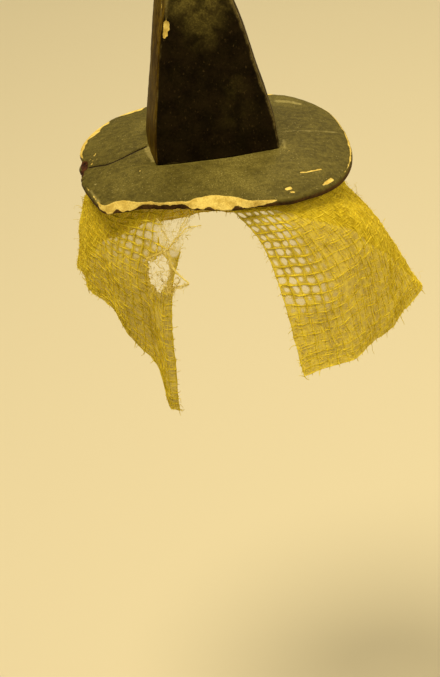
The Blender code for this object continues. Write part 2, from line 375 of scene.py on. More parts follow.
brim = {
    "centre": (-0.4, -3.6),
    "thickness": 1.5,
    "flatRadius": 20,
    "droopReach": 14.5,
    "droopPower": 1.4,
    "opening": (13, 9.5, 5),  # half width, half depth, squareness
    "steps": 720,
    "topRings": 84,
    "faceRings": 8,
    "undersideRings": 16,
    "lipRounding": 0.32,
    "wander": 0.13,  # how far the surface swells and sinks
    "chipDepth": 0.22,
    "crackDepth": 0.35,
    "pitDepth": 0.55,
    "fields": ("bare", "scuff", "crack", "pit", "dust", "under"),
    "rim": (
        ("angle", "top", "underside", "fall"),
        (0, 34.2, 34.2, 4.2), (12, 34.4, 34.4, 3.9), (25, 35, 35, 3.5), (48, 34.7, 34.7, 3.5),
        (60, 32.8, 32.8, 3.5), (90, 31.6, 31.6, 3.5), (113, 32, 32, 3.5), (124, 34.2, 34.2, 3.5),
        (135, 35, 35, 3.5), (152, 35.1, 35.1, 3.5), (162, 34.3, 34.3, 3.8), (168, 33.2, 33.2, 4),
        (174, 33.8, 33.8, 4.2), (197, 34.3, 34.3, 4.2), (206, 34.8, 34.9, 4.2),
        (210, 34.5, 35.2, 4.2), (213, 32.3, 34.7, 4.2), (217, 31, 33.2, 4.2),
        (222, 30.4, 31.5, 4.2), (228, 29.4, 29.9, 4.2), (242, 28, 28.4, 4.2),
        (248, 27.5, 28.1, 4.2), (253, 26.4, 28.3, 4.2), (263, 25.6, 28.9, 4.2),
        (270, 26.6, 29.3, 4.2), (280, 29.1, 29.8, 4.2), (290, 30.9, 31.1, 4.2),
        (297, 32.2, 32.4, 4.2), (304, 32.9, 33.1, 4.2), (315, 34.1, 34.5, 4.2),
        (325, 34.9, 35.3, 4.2), (335, 35, 35.3, 4.2), (345, 34.7, 34.9, 4.2),
        (360, 34.2, 34.2, 4.2),
    ),
    "brokenFrom": (208.5, 212),
    "brokenTo": (281, 293),
    "jag": 0.30,  # how far the broken edge wanders in and out
    "bite": (180, 6, 0.8),  # the hole at the left: middle and half width in degrees, depth
    # how wide the paint has worn off the rim, and how much of the face below is bare; the wide pale
    # band at the back right is partly a painted highlight on the rim's top edge
    "wear": (
        ("angle", "worn", "bareFace"),
        (0, 0.22, 0), (8, 0.18, 0), (20, 0.14, 0), (30, 0.26, 0), (40, 0.12, 0), (49, 0.15, 0),
        (52, 1.6, 0.1), (57, 2.6, 0.2), (63, 1.6, 0.3), (69, 0.4, 0), (80, 0.3, 0), (112, 0.2, 0),
        (116, 1.3, 0), (119, 2.6, 0.1), (123, 2.9, 0), (127, 1.2, 0), (129, 0.45, 0), (132, 0.5, 0),
        (135, 1.5, 0.2), (139, 2.1, 0.3), (143, 2.3, 0.3), (147, 1.5, 0.3), (151, 1.2, 0.2),
        (157, 0.75, 0.1), (162, 0.45, 0), (166, 0.15, 0), (169, -0.15, 0), (206, -0.15, 0),
        (210, 0.05, 0.9), (221, 0.05, 0.9), (225, 0.05, 0.35), (246, 0.05, 0.32), (251, 0.05, 1),
        (276, 0.05, 0.95), (281, 0.07, 0.75), (285, 0.09, 0.55), (289, 0.08, 0.3), (292, -0.18, 0),
        (326, -0.18, 0), (331, 0.04, 0), (338, 0.15, 0), (348, 0.26, 0), (360, 0.22, 0),
    ),
    # bare spots, each a half width and a path
    "chips": (
        (0.5, (24.2, -25.9), (25.3, -24.9), (25.9, -24.3)), (0.27, (23.4, -26.6), (24.2, -25.9)),
        (0.42, (14, -28.8), (15, -28.5)), (0.26, (14.9, -29.8), (15.6, -29.8)),
        (0.23, (18.6, -22.7), (20.2, -22.4), (22, -21.7), (23.9, -20.9)),
        (0.2, (-29.7, 2.6), (-29.3, 3.3)), (0.16, (-30.9, -1.3), (-30.6, -0.7)),
        (0.18, (-30.3, 0.4)), (0.15, (-30.8, 1.5)), (0.12, (-29.3, 0.2)),
        (0.08, (-33.3, -10.6), (-32.9, -12.4)), (0.16, (-32.1, -15.4), (-31.7, -17)),
        (0.16, (-31.5, -18.2), (-31.2, -18.9)), (0.17, (-19.9, -12.8)), (0.12, (-19.2, -13.3)),
        (0.12, (-13.1, -18)), (0.12, (17.4, -13.6)), (0.12, (23.4, -12.4)),
    ),
    # places where the paint is rubbed thin and pale
    "scuffs": (
        (0.75, (-16.6, -1.6), (-16.4, -4.8), (-16, -9)),
        (1, (19.4, 15.6), (21.2, 15.6), (23, 15.1), (24.2, 14.3)),
        (0.16, (17.6, -3.9), (24.4, -3.8), (31.2, -2.2)),
        (0.25, (16.6, -12), (16.9, -8)), (0.25, (-32.6, -13), (-31.3, -18.6)),
    ),
    "cracks": ((
        0.33, (-31.5, -2.2), (-29.5, -3.4), (-27.4, -4.6), (-25.5, -4.7), (-23.4, -4.4),
        (-21.2, -3.6), (-19.2, -2.3), (-16.8, -0.9),
    ),),
    # the dent at the left is painted near black: painted shade of a hole
    "pits": ((0.95, (-33.2, 2), (-32.5, 0.4), (-32.9, -1.8)),),
    # where dust lies: middle, reach, amount
    "dust": (
        ((25, 0), 14, -0.1), ((2, -22), 17, 0.95), ((-22, -16), 12, 0.45), ((-24, 8), 10, 0.2),
        ((-16.8, -5), 4, 0.6), ((20, 16), 9, 0.7), ((20, -20), 9, 0.3),
    ),
    "dustBesideCrown": (15.6, 11.9, 5, 0.55),  # the foot's half sizes, the dust's reach, amount
}
brimMiddle = Vector(brim["centre"]).to_3d()


def rimAt(degrees):
    return rowAt(brim["rim"], degrees % 360)


def dropAt(radius, fall):
    beyond = max(0.0, radius - brim["flatRadius"])
    return fall * (beyond / brim["droopReach"]) ** brim["droopPower"]


def openingPoint(angle):
    halfWidth, halfDepth, squareness = brim["opening"]
    across = abs(math.cos(angle) / halfWidth) ** squareness
    along = abs(math.sin(angle) / halfDepth) ** squareness
    return around(angle) * (across + along) ** (-1 / squareness)


def makeBrimPaint():
    material, tree, shader = startMaterial("brimPaint", {"Specular IOR Level": 0.08})
    worn = placeGroup(tree, "streaks", Stretch=(0.05, 0.8, 0.8), Sparseness=0.52)
    flecks = placeGroup(tree, "streaks", Stretch=(2.2, 2.2, 2.2), Sparseness=0.61)
    film = patch(tree, "dustFilm", "dust", Size=6.0, Speckle=0.33, Evenness=0.25)
    bare = patch(tree, "raggedPatch", "bare", Raggedness=0.24, Size=0.9)
    scuff = patch(tree, "rubbedPatch", "scuff", Strength=0.75, Size=0.7)
    crack = patch(tree, "raggedPatch", "crack", Raggedness=0.14, Size=0.9)
    pit = patch(tree, "raggedPatch", "pit", Raggedness=0.75, Size=1.2)
    colour = coated(
        tree, mottled(tree, (0.064, 0.0515, 0.0095), (0.122, 0.099, 0.019), 1.1),
        (maths(tree, "MULTIPLY", worn, 0.25), (0.22, 0.185, 0.042)),
        (film, (0.27, 0.225, 0.055)),
        (flecks, (0.42, 0.36, 0.14)),
        (scuff, (0.46, 0.39, 0.14)),
        # under: the underside's dark red-brown, darkened as painted shade under the brim, also on
        # the lower part of the edge
        (fieldOf(tree, "under"), mottled(tree, (0.026, 0.0125, 0.003), (0.088, 0.043, 0.009), 3.0)),
        (bare, bareClay(tree)),
        # pit: near black to dark red-brown, painted shade in the dent at the left
        (pit, mottled(tree, (0.006, 0.003, 0.002), (0.11, 0.036, 0.012), 0.9)),
        (crack, (0.018, 0.011, 0.004)),
    )
    roughness = mixValue(tree, bare, 0.62, 0.92)
    joinShader(tree, shader, colour, roughness, sunkenGrit(tree, bare, 1.1, 0.35), 0.10)
    return material


def rimRow(degrees):
    # the rim at this angle with its breaks, jags and wear
    rim = rimAt(degrees)
    rim.update(rowAt(brim["wear"], degrees, smooth=False))
    broken = ease(*brim["brokenFrom"], degrees) * (1 - ease(*brim["brokenTo"], degrees))
    edge = 30 * around(math.radians(degrees))
    jag = brim["jag"] * (lump(edge, 2.6) + 0.55 * lump(edge, 0.9, 5.0))
    rim["top"] += broken * jag - (1 - broken) * 0.30 * max(0.0, lump(edge, 2.4, 9.0) - 0.25)
    rim["underside"] += broken * brim["jag"] * (lump(edge, 2.0, 3.0) + 0.4 * lump(edge, 0.8, 7.0))
    middle, half, depth = brim["bite"]
    bite = max(0.0, 1 - ((degrees - middle) / half) ** 2) * (1 + lump(edge, 1.2, 4.0))
    rim["underside"] -= 0.5 * depth * bite
    rim["top"] = min(rim["top"] - depth * bite, rim["underside"] + 0.1)
    rounding = brim["lipRounding"] * (1 - 0.8 * broken)
    return {**rim, "broken": broken, "bite": bite, "rounding": rounding}


def buildBrim():
    steps, thickness = brim["steps"], brim["thickness"]
    lipRing = brim["topRings"]
    underRing = lipRing + brim["faceRings"]
    lastRing = underRing + brim["undersideRings"]
    marks = {kind: readMarks(brim[kind]) for kind in ("chips", "scuffs", "cracks", "pits")}
    rims = [rimRow(360 * step / steps) for step in range(steps)]

    def place(ring, step):
        angle, rim = 2 * math.pi * step / steps, rims[step]
        outward = around(angle)
        bare = scuff = crack = pit = farOutside
        top = ring < lipRing
        if top or ring > underRing:
            share = ring / lipRing if top else (lastRing - ring) / (lastRing - underRing)
            edge = rim["top" if top else "underside"] - rim["rounding"]
            spot = openingPoint(angle).lerp(brimMiddle + outward * edge, share)
            level, under = (thickness, 0.0) if top else (0.0, 1.0)
            inward = edge - (spot - brimMiddle).length
        else:  # round the lip or down the broken face
            down = (ring - lipRing) / (underRing - lipRing)
            radius = rim["top"] + (rim["underside"] - rim["top"]) * down
            spot = brimMiddle + outward * (radius - rim["rounding"] * abs(2 * down - 1) ** 3)
            # the lower part of the edge takes the underside's painted shade
            level, under = thickness * (1 - down), ease(0.1, 0.45, down)
            if 0 < down < 1:
                rough = 0.30 * lump(spot, 1.3, 2.0) + 0.15 * lump(spot, 0.6, 4.0)
                spot += outward * rough * rim["broken"]
                level += 0.7 * rough * rim["broken"]
            inward = down * thickness
            # the bitten edge takes the pit's painted shade
            pit = 0.9 * rim["bite"] - 0.3
            if rim["bareFace"] > 0.02:
                bare = rim["bareFace"] * thickness * (1 + 0.5 * lump(spot, 2.0, 8.0)) - inward
        if ring <= underRing:
            bare = max(bare, rim["worn"] * (0.85 + 0.8 * lump(spot, 2.2, 6.0)) - inward)
        dust = 0.12
        if under < 0.5:
            bare = max(bare, markField(spot, marks["chips"]))
            scuff = markField(spot, marks["scuffs"])
            crack = markField(spot, marks["cracks"])
            pit = max(pit, markField(spot, marks["pits"]))
            footWidth, footDepth, reach, amount = brim["dustBesideCrown"]
            away = math.hypot(max(abs(spot.x) - footWidth, 0), max(abs(spot.y) - footDepth, 0))
            dust += dustAt(spot, brim["dust"], 0.2) + amount * (1 - ease(0.0, reach, away))
        level += brim["wander"] * lump(spot, 7.0) - dropAt((spot - brimMiddle).length, rim["fall"])
        sunk = brim["chipDepth"] * ease(-0.2, 0.25, bare) * (1 - rim["broken"])
        sunk += brim["crackDepth"] * ease(-0.25, 0.2, crack)
        sunk += brim["pitDepth"] * ease(-0.2, 0.4, pit)
        level -= sunk * (1 - under)
        return Vector((spot.x, spot.y, level)), (bare, scuff, crack, pit, dust, under)

    bm, _ = spunShape(lastRing + 1, steps, True, brim["fields"], place)
    piece = newPiece("brim_painted", bm, makeBrimPaint())
    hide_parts("brim")
    print("brim made")


# Crown: nearly black paint on clay, four-sided and hollow

crown = {
    "foot": 1.5,
    "height": 43,
    "wall": 1.6,
    "topMiddle": -1.5,
    "topRounding": 0.6,
    "frontCorner": 1.1,
    "backCorner": 3,
    "frontBulge": 1,
    "sideBulge": 0.5,
    "cornerSteps": 8,
    "sideSteps": 70,
    "wallRings": 130,
    "capRings": 14,
    "insideRings": 24,
    "ceilingRings": 6,
    "fields": ("bare", "scuff", "dust", "side", "inside"),
    "faces": (
        ("height", "frontLeft", "backLeft", "right", "front", "back"),
        (0, -15.7, -15.5, 15.5, -11.9, 11.9), (8, -15.1, -14.55, 14.6, -10.9, 10.9),
        (19, -13.5, -13.05, 12.1, -9.4, 9.5), (31, -11.6, -11.6, 9.5, -7.7, 7.8),
        (37.5, -10, -10.7, 7.7, -6.8, 6.8), (43, -8.5, -9.6, 6, -6, 5.9),
    ),
    "chipDepth": 0.35,
    "chips": (
        (0.22, (-9.3, -7, 38.7), (-9.4, -7.1, 37.6)), (0.78, (-9.4, -7, 37.2), (-9.5, -7.3, 36)),
        (0.6, (-9.7, -7.3, 35.6), (-9.9, -7.5, 34.6)), (0.34, (-10.2, -7.6, 33.9)),
        (0.3, (-11.8, -6, 31.9)), (0.16, (-8.7, -6.1, 44), (-8.9, -6.4, 41.8)),
        (0.15, (-9.6, -3, 43.2), (-10, -4.4, 40.6)),
    ),
    # the worn ridges and streaks; along the front-left ridge the pale rub is partly a painted
    # highlight
    "scuffs": (
        (0.34, (-9.7, -3, 43.2), (-9.95, -4.3, 40.6), (-10.4, -5.2, 38.2)),
        (0.34, (-8.7, -5.8, 44), (-8.9, -6.4, 41.2), (-9.3, -6.8, 39)),
        (0.55, (15.5, -10.6, 1.5), (14.7, -9.8, 9.5), (12.2, -8.3, 20.5), (9.6, -6.7, 32.5),
         (6.1, -5, 44.5)),
        (0.14, (15.2, -11.6, 1.5), (14.3, -10.6, 9.5), (11.8, -9.1, 20.5), (9.2, -7.4, 32.5),
         (5.8, -5.7, 44.5)),
        (-0.02, (-11, -7.6, 32.2), (-12.4, -8.4, 25.9), (-13.6, -9.2, 18.3)),
        (0.16, (-13.2, -9, 20.5), (-13.9, -9.4, 16), (-15, -10.2, 9.5)),
        (0.06, (-15.4, -11.2, 4), (-15.4, -11.9, 1.6), (-6, -12.9, 1.6)),
        (-0.06, (5.4, -10.1, 19), (6.4, -10.4, 15.4)),
    ),
    "dust": (
        ((-0.8, -7.6, 42), 10, 0.6), ((-0.5, -8.2, 34.5), 7, 0.45), ((-6.5, -6.8, 43), 5, 0.5),
        ((5, -9.5, 12), 7, 0.14), ((5.5, -9.6, 19), 5, 0.16), ((0, 0, 45), 12, 0.5),
    ),
    # the rising film is dust and also a painted highlight on the crown's upper part
    "dustAndHighlightRise": (34, 46, 0.35),  # from this height to this the film thickens by this much
}


@functools.cache
def crownPlan(height, inset):
    # the outline at one height, counterclockwise from the front left, moved inwards by the inset
    faces = rowAt(crown["faces"], height)
    corners = (("frontLeft", "front"), ("right", "front"), ("right", "back"), ("backLeft", "back"))
    arcs = []
    for index, (side, end) in enumerate(corners):
        radius = max(crown[end + "Corner"] - inset, 0.3)
        x, y = (faces[name] - math.copysign(inset + radius, faces[name]) for name in (side, end))
        arc = []
        for step in range(crown["cornerSteps"] + 1):
            angle = math.radians(180 + 90 * (index + step / crown["cornerSteps"]))
            arc.append(Vector((x, y, crown["foot"] + height)) + radius * around(angle))
        arcs.append(arc)
    outline = []
    for index, arc in enumerate(arcs):
        outline += arc
        start, end = arc[-1], arcs[(index + 1) % 4][0]
        outward = Vector((end.y - start.y, start.x - end.x, 0.0)).normalized()
        bulge = crown["sideBulge" if index else "frontBulge"]
        for step in range(1, crown["sideSteps"]):
            share = step / crown["sideSteps"]
            outline.append(start.lerp(end, share) + outward * bulge * math.sin(math.pi * share))
    return outline


def makeCrownPaint():
    material, tree, shader = startMaterial("crownPaint", {"Specular IOR Level": 0.02})
    bare = patch(tree, "raggedPatch", "bare", Raggedness=0.35, Size=1.0)
    scuff = patch(tree, "rubbedPatch", "scuff", Strength=0.8, Size=0.55)
    film = patch(tree, "dustFilm", "dust", Size=3.2, Speckle=0.45, Evenness=0.55)
    strokes = placeGroup(tree, "streaks", Stretch=(1.3, 1.3, 0.05), Sparseness=0.43)
    flecks = placeGroup(tree, "streaks", Stretch=(1.6, 1.6, 1.1), Sparseness=0.60)
    inside = fieldOf(tree, "inside")
    brown = coated(
        tree, mottled(tree, (0.068, 0.038, 0.002), (0.16, 0.096, 0.006), 3.0),
        (maths(tree, "MULTIPLY", strokes, 0.7), (0.03, 0.012, 0.003)),
    )
    colour = coated(
        tree, mottled(tree, (0.0052, 0.0031, 0.0012), (0.014, 0.0085, 0.0033), 4.0),
        (flecks, (0.05, 0.032, 0.012)),
        (fieldOf(tree, "side"), brown),
        (film, (0.15, 0.12, 0.028)),
        # scuff: rubbed pale paint, on the front-left ridge partly a painted highlight
        (scuff, (0.22, 0.17, 0.055)),
        (inside, mottled(tree, (0.16, 0.075, 0.025), (0.34, 0.19, 0.07), 4.0)),
        (bare, bareClay(tree)),
    )
    roughness = mixValue(tree, maths(tree, "MAXIMUM", bare, inside), 0.50, 0.92)
    joinShader(tree, shader, colour, roughness, sunkenGrit(tree, bare, 1.3, 0.25), 0.09)
    return material


def buildCrown():
    steps = 4 * (crown["cornerSteps"] + crown["sideSteps"])
    top, rounding = crown["height"], crown["topRounding"]
    ceiling = top - crown["wall"]
    edgeRing = crown["capRings"]
    footRing = edgeRing + crown["wallRings"]
    ceilingRing = footRing + 1 + crown["insideRings"]
    chips, scuffs = readMarks(crown["chips"]), readMarks(crown["scuffs"])

    def place(ring, step):
        if ring <= edgeRing:  # the closed top, from its middle out to its edge
            middle = Vector((crown["topMiddle"], 0.0, crown["foot"] + top))
            point = middle.lerp(crownPlan(top, rounding)[step], (ring / edgeRing) ** 0.8)
            point.z += 0.25 * (1 - (ring / edgeRing) ** 2)
        elif ring <= footRing:  # down the outside
            height = top * (1 - (ring - edgeRing) / crown["wallRings"])
            point = crownPlan(height, rounding * ease(top - rounding * 2, top, height) ** 2)[step]
        else:  # up the inside and in over the ceiling
            height = ceiling * min((ring - footRing - 1) / crown["insideRings"], 1.0)
            share = max(ring - ceilingRing, 0) / crown["ceilingRings"]
            middle = Vector((crown["topMiddle"], 0.0, crown["foot"] + ceiling))
            point = crownPlan(height, crown["wall"])[step].lerp(middle, share)
        return point, (farOutside, farOutside, 0.0, 0.0, float(ring > footRing))

    bm, layers = spunShape(
        ceilingRing + crown["ceilingRings"] + 1, steps, False, crown["fields"], place
    )
    for vert in bm.verts:
        if vert[layers[-1]] > 0.5:
            continue
        point, normal = vert.co / mm, vert.normal
        bare = markField(point, chips)
        scuff = markField(point, scuffs) + 0.25 * lump(point, 2.2, 3.0)
        # the film thickens toward the top: dust and a painted highlight on the upper crown
        low, high, amount = crown["dustAndHighlightRise"]
        dust = 0.04 + amount * ease(low, high, point.z) + dustAt(point, crown["dust"], 0.1)
        side = ease(0.55, 0.85, -normal.x) + 0.35 * ease(0.6, 0.9, normal.x)
        for layer, value in zip(layers, (bare, scuff, dust, side)):
            vert[layer] = value
        relief = 0.10 * lump(point, 6.0) + 0.05 * lump(point, 2.0, 4.0)
        vert.co += normal * (relief - crown["chipDepth"] * ease(-0.2, 0.25, bare)) * mm
    piece = newPiece("crown_painted", bm, makeCrownPaint())
    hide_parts("crown")
    print("crown made")


# Veil: a coarse net of fuzzy thread, hung under the brim and open at the front

veil = {
    "warps": 92,  # threads that run down
    "wefts": 20,  # threads that run round
    "hemRows": 3,
    "hemSpacing": 0.55,  # the last rows are drawn this much closer
    "stepsPerPitch": 3,
    "pathSteps": (900, 60),  # round and down, to measure the cloth's lengths by
    "downPlaces": 40,
    "foldDepth": 0.7,
    "foldCount": 13,
    "threadRadius": 0.125,
    "plyRadius": 0.09,  # a thinner ply wanders beside each thread, and broken ones between them
    "plySteps": 2,
    "threadWander": 0.04,
    "plyWander": 0.26,
    "brokenPlyWander": 0.30,
    "weaveDepth": 0.12,
    "shape": (
        ("start", "hem", "topRadius", "bowRadius", "bowHeight", "hemRadius", "hemHeight"),
        (253, 236, 25.3, 30, -22, 31, -61), (242, 231, 25.8, 30.5, -22, 31, -59),
        (234, 226, 26.8, 31.5, -22, 30.6, -50), (224, 218, 28.5, 33, -21, 31.2, -43.5),
        (212, 208, 30.5, 34, -19, 33, -37.5), (197, 197, 30.8, 34.8, -18, 35, -33),
        (177, 177, 30.5, 35, -18, 36, -33.5), (149, 149, 29.5, 34, -19, 37, -37),
        (119, 119, 28, 32, -20, 38, -40), (84, 84, 27.5, 31, -20, 39, -42),
        (54, 54, 27.5, 30.5, -21, 40.5, -43), (26, 24, 27.5, 31, -22, 43.5, -44),
        (4, 4, 27, 33, -23, 47, -46), (-11, -6, 26.5, 37, -24.5, 50, -46),
        (-28, -18, 26.5, 42, -20.5, 48, -45.4), (-46, -34, 27.2, 43.5, -15.5, 45.6, -45.2),
        (-68, -53, 28, 38, -14, 45.8, -45.2), (-92, -73, 26, 29.5, -14, 44.3, -45.4),
    ),
    "pitch": 2.3,
    # shares round and down the cloth: middle and half size of the torn hole, and of the thin place
    "torn": ((0.0377, 0.43), (0.023, 0.125)),
    "thin": ((0.0, 0.13), (0.085, 0.20)),
    # places clear of lint, right front and left front: first and last warp and weft, how clear
    "clear": (((86.8, 110), (-5, 12.5), 0.85), ((-10, 12), (-5, 7.5), 0.5)),
    "sheen": {"Sheen Weight": 0.2, "Sheen Roughness": 0.5, "Sheen Tint": (1.0, 0.80, 0.20, 1.0)},
    "fuzzCount": 14000,
    "strayCount": 420,
    "loopsPerCurl": 9,
    # where threads have sprung into small loops at the left
    "curls": ((-33.4, -2, -12), (-34.4, -4, -18.5), (-35.2, -2, -25.5), (-35.8, -5, -30)),
}
veilShapes, veilPlaces = {}, {}


def veilRow(share):
    key = round(share, 4)
    if key not in veilShapes:
        first, last = veil["shape"][1][0], veil["shape"][-1][0]
        row = rowAt(veil["shape"], first + (last - first) * share)
        veilShapes[key] = {**row, "fall": rimAt(row["start"])["fall"]}
    return veilShapes[key]


def veilPoint(share, down):
    row = veilRow(share)
    bowed = row["bowRadius"] - row["topRadius"]
    lean = bowed / math.hypot(bowed, row["bowHeight"])
    underBrim = brim["thickness"] + 0.3 + dropAt(row["topRadius"] + 0.5, row["fall"]) + 0.5 * lean
    top, bow, hem = (1 - down) ** 3, 3 * down * (1 - down), down**3
    radius = top * row["topRadius"] + bow * row["bowRadius"] + hem * row["hemRadius"]
    radius += veil["foldDepth"] * down * math.sin(2 * math.pi * veil["foldCount"] * share)
    height = brim["thickness"] - top * underBrim + bow * row["bowHeight"] + hem * row["hemHeight"]
    angle = math.radians(row["start"] + (row["hem"] - row["start"]) * (1 - (1 - down) ** 3))
    return brimMiddle + Vector((radius * math.cos(angle), radius * math.sin(angle), height))


def evenPlaces(count, pointAt, steps):
    # shares of a path, from 0 to 1, with the same length of it between each and the next
    points = [pointAt(index / steps) for index in range(steps + 1)]
    reach = [0.0]
    for start, end in zip(points, points[1:]):
        reach.append(reach[-1] + (end - start).length)
    places = []
    for index in range(count + 1):
        goal = reach[-1] * index / count
        step = clamp(bisect.bisect_right(reach, goal) - 1, 0, steps - 1)
        places.append((step + (goal - reach[step]) / (reach[step + 1] - reach[step])) / steps)
    return places


def readPlace(places, value):
    index = clamp(int(value), 0, len(places) - 2)
    return places[index] + (places[index + 1] - places[index]) * (value - index)


def layOutThreads():
    roundSteps, downSteps = veil["pathSteps"]
    shares = evenPlaces(veil["warps"], lambda share: veilPoint(share, 0.75), roundSteps)
    veilPlaces["round"] = shares
    veilPlaces["down"] = [
        evenPlaces(veil["downPlaces"], functools.partial(veilPoint, share), downSteps)
        for share in shares
    ]


def netSpot(column, row):
    # shares round and down the cloth where these threads cross
    firstHemRow = veil["wefts"] - veil["hemRows"]
    inHem = max(row - firstHemRow, 0.0) * veil["hemSpacing"]
    share = (min(row, firstHemRow) + inHem) / (firstHemRow + veil["hemRows"] * veil["hemSpacing"])
    index = clamp(int(column), 0, veil["warps"] - 1)
    near, far = (
        readPlace(places, veil["downPlaces"] * share)
        for places in veilPlaces["down"][index:index + 2]
    )
    return readPlace(veilPlaces["round"], column), near + (far - near) * (column - index)


def insideOf(name, spot):
    # 1 in the middle of a place named in the veil's values, 0 on its edge, negative outside it
    return 1 - math.hypot(*((at - middle) / half for at, middle, half in zip(spot, *veil[name])))


def outwardAt(point):
    return Vector((point.x - brimMiddle.x, point.y - brimMiddle.y, 0.0)).normalized()


def netPoint(column, row):
    # a point of the net by its place among the threads, with their unevenness
    place = Vector((column, row, 0.0))
    hold = ease(0.0, 2.0, row)  # the top edge is held under the brim
    free = hold * ease(-0.2, 1.5, column) * ease(-0.2, 1.5, veil["warps"] - column)
    point = veilPoint(*netSpot(
        column + free * (0.42 * lump(place, 4.0, 1.0) + 0.26 * lump(place, 1.3, 2.0)),
        row + hold * (0.38 * lump(place, 4.5, 3.0) + 0.24 * lump(place, 1.4, 4.0)),
    ))
    swell = 0.55 * lump(place, 5.0, 5.0) + 0.25 * lump(place, 2.0, 6.0)
    return point + outwardAt(point) * hold * swell


def netFrame(column, row):
    # the point with its outward normal and the two thread directions
    point = netPoint(column, row)
    across = (netPoint(column + 0.3, row) - netPoint(column - 0.3, row)).normalized()
    downward = (netPoint(column, row + 0.3) - netPoint(column, max(row - 0.3, 0.0))).normalized()
    return point, across.cross(downward).normalized(), across, downward


def threadGone(column, row):
    # whether the thread is missing here, torn out or worn away
    spot, place = netSpot(column, row), (column, row, 0.0)
    if insideOf("torn", spot) + 0.60 * lump(place, 1.2, 8.0) > 0:
        return True
    return ease(0.0, 0.6, insideOf("thin", spot)) * 0.75 > 0.45 + 0.8 * lump(place, 1.3, 9.0)


def clearness(column, row):
    # how free of lint the net is here, 0 to 1
    wander = 1.2 * lump((column, row, 0.0), 3.0, 12.0)
    shares = []
    for (left, right), (upper, lower), amount in veil["clear"]:
        within = min(column - left, right - column, row - upper, lower - row)
        shares.append(amount * ease(-1.5, 2.5, within + wander))
    return max(shares)


def makeThreadCloth(name, low, high):
    material, tree, shader = startMaterial(name, {**veil["sheen"], "Specular IOR Level": 0.12})
    roughness = softStep(tree, noiseAt(tree, millimetres(tree), 0.8), 0.3, 0.7, 0.85, 1.0)
    twist = placeGroup(tree, "streaks", Stretch=(2.5, 2.5, 2.5), Sparseness=0.42)
    joinShader(tree, shader, mottled(tree, low, high, 3.0), roughness, twist, 0.06)
    return material


def makeHazeCloth():
    # the lint that fills the net round its holes, on the net's own UV map in thread counts
    settings = {**veil["sheen"], "Specular IOR Level": 0.08, "Roughness": 0.95}
    material, tree, shader = startMaterial("netHaze", settings)
    spot = addNode(tree, "UVMap", uv_map="threads").outputs["UV"]
    wander = addNode(tree, "TexNoise", {"Vector": spot, "Scale": 0.9, "Detail": 3.0})
    wander = vectors(tree, "ADD", wander.outputs["Color"], (-0.5, -0.5, -0.5))
    bent = vectors(tree, "ADD", spot, vectors(tree, "MULTIPLY", wander, (0.75, 0.75, 0.0)))
    cell = vectors(tree, "ADD", vectors(tree, "FRACTION", bent), (-0.5, -0.5, 0.0))
    fromMiddle = addNode(tree, "VectorMath", {0: cell}, operation="LENGTH").outputs["Value"]
    whole = {"Vector": vectors(tree, "FLOOR", bent)}
    chance = addNode(tree, "TexWhiteNoise", whole, noise_dimensions="2D").outputs["Value"]
    clouds = softStep(tree, noiseAt(tree, spot, 0.22, 2.0), 0.32, 0.68)
    clear = fieldOf(tree, "clear")
    size = maths(tree, "MULTIPLY_ADD", chance, 0.28, 0.02)
    size = maths(tree, "MULTIPLY_ADD", clouds, 0.08, size)
    size = mixValue(tree, clear, size, maths(tree, "MULTIPLY_ADD", chance, 0.16, 0.26))
    inner, outer = (maths(tree, way, size, 0.10) for way in ("SUBTRACT", "ADD"))
    opened = softStep(tree, fromMiddle, inner, outer, 1.0, 0.0)

    fibres = []
    for stretch in ((1.4, 8.0, 1.0), (8.0, 1.4, 1.0)):
        fine = noiseAt(tree, vectors(tree, "MULTIPLY", spot, stretch), 1.0, 4.0, 0.7)
        fibres.append(softStep(tree, fine, 0.5, 0.68))
    fibres = maths(tree, "MAXIMUM", *fibres)
    # the holes hold a near opaque dark sheet, painted shade seen through the net, except in the
    # clear places
    holeShadeCover = maths(tree, "MULTIPLY_ADD", fibres, 0.15, mixValue(tree, clear, 0.87, 0.08))
    alpha = mixValue(tree, opened, maths(tree, "MULTIPLY_ADD", fibres, 0.10, 0.88), holeShadeCover)
    alpha = mixValue(tree, fieldOf(tree, "thin"), alpha, maths(tree, "MULTIPLY", fibres, 0.7))
    tornAway = patch(tree, "raggedPatch", "torn", Raggedness=2.6, Size=1.4)
    kept = maths(tree, "SUBTRACT", 1.0, tornAway)
    tree.links.new(maths(tree, "MULTIPLY", alpha, kept), shader.inputs["Alpha"])
    colour = coated(
        tree, mottled(tree, (0.48, 0.345, 0.008), (0.77, 0.595, 0.019), 2.4),
        # darker ochre in the holes: painted shade
        (maths(tree, "MULTIPLY", opened, 0.65), (0.39, 0.27, 0.006)),
        (maths(tree, "MULTIPLY", fibres, 0.6), (0.95, 0.77, 0.08)),
    )
    tree.links.new(colour, shader.inputs["Base Color"])
    return material


def buildHaze():
    warps, wefts = veil["warps"], veil["wefts"]
    bm = bmesh.new()
    bmesh.ops.create_grid(bm, x_segments=2 * warps, y_segments=2 * wefts, size=0.5)
    threads = bm.loops.layers.uv.new("threads")
    torn, thin, clear = (bm.verts.layers.float.new(name) for name in ("torn", "thin", "clear"))
    for vert in bm.verts:
        column, row = (vert.co.x + 0.5) * warps, (0.5 - vert.co.y) * wefts
        for loop in vert.link_loops:
            loop[threads].uv = (column, row)
        spot = netSpot(column, row)
        vert[torn] = 4.4 * insideOf("torn", spot)
        vert[thin] = ease(0.0, 0.6, insideOf("thin", spot))
        vert[clear] = clearness(column, row)
        vert.co = netPoint(column, row) * mm
    bmesh.ops.recalc_face_normals(bm, faces=bm.faces)
    middle = bm.faces[:][len(bm.faces) // 2]
    if middle.normal.dot(middle.calc_center_median()) < 0:
        bmesh.ops.reverse_faces(bm, faces=bm.faces)
    return newPiece("veil_lint", bm, makeHazeCloth())


